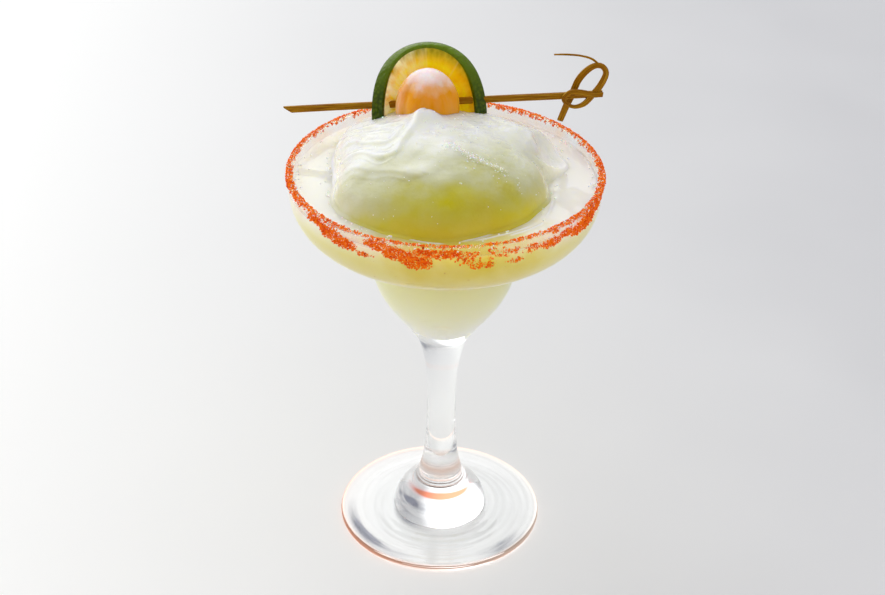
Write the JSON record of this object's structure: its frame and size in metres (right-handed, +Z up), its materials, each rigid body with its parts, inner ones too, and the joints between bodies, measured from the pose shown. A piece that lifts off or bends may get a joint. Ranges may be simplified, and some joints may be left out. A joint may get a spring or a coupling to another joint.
{
  "type": "frozen margarita in a stemmed glass",
  "caption": "Stemmed two-bowl cocktail glass filled with pale drink and a heap of slush, salted lip, folded lime wheel and peeled lychee on a knotted pick.",
  "frame": {"origin": "centre of the flat underside of the glass's foot", "axes": "+Z up along the stem, +Y towards the garnish at the back, +X towards the knotted end of the pick"},
  "size_m": [0.1215, 0.118, 0.1904],
  "materials": {
    "clear_glass": "gloss",
    "drink": "cloudy liquid",
    "slush": "wet crushed ice",
    "salt": "coarse grains",
    "lime": "wet cut fruit",
    "lychee": "wet fruit flesh",
    "bamboo": "split bamboo"
  },
  "bodies": {
    "root": {"glass": "clear_glass", "drink": "drink", "slush": "slush", "salt_rim": "salt", "lime_wheel": "lime", "lychee": "lychee", "pick": "bamboo"}
  },
  "joints": []
}
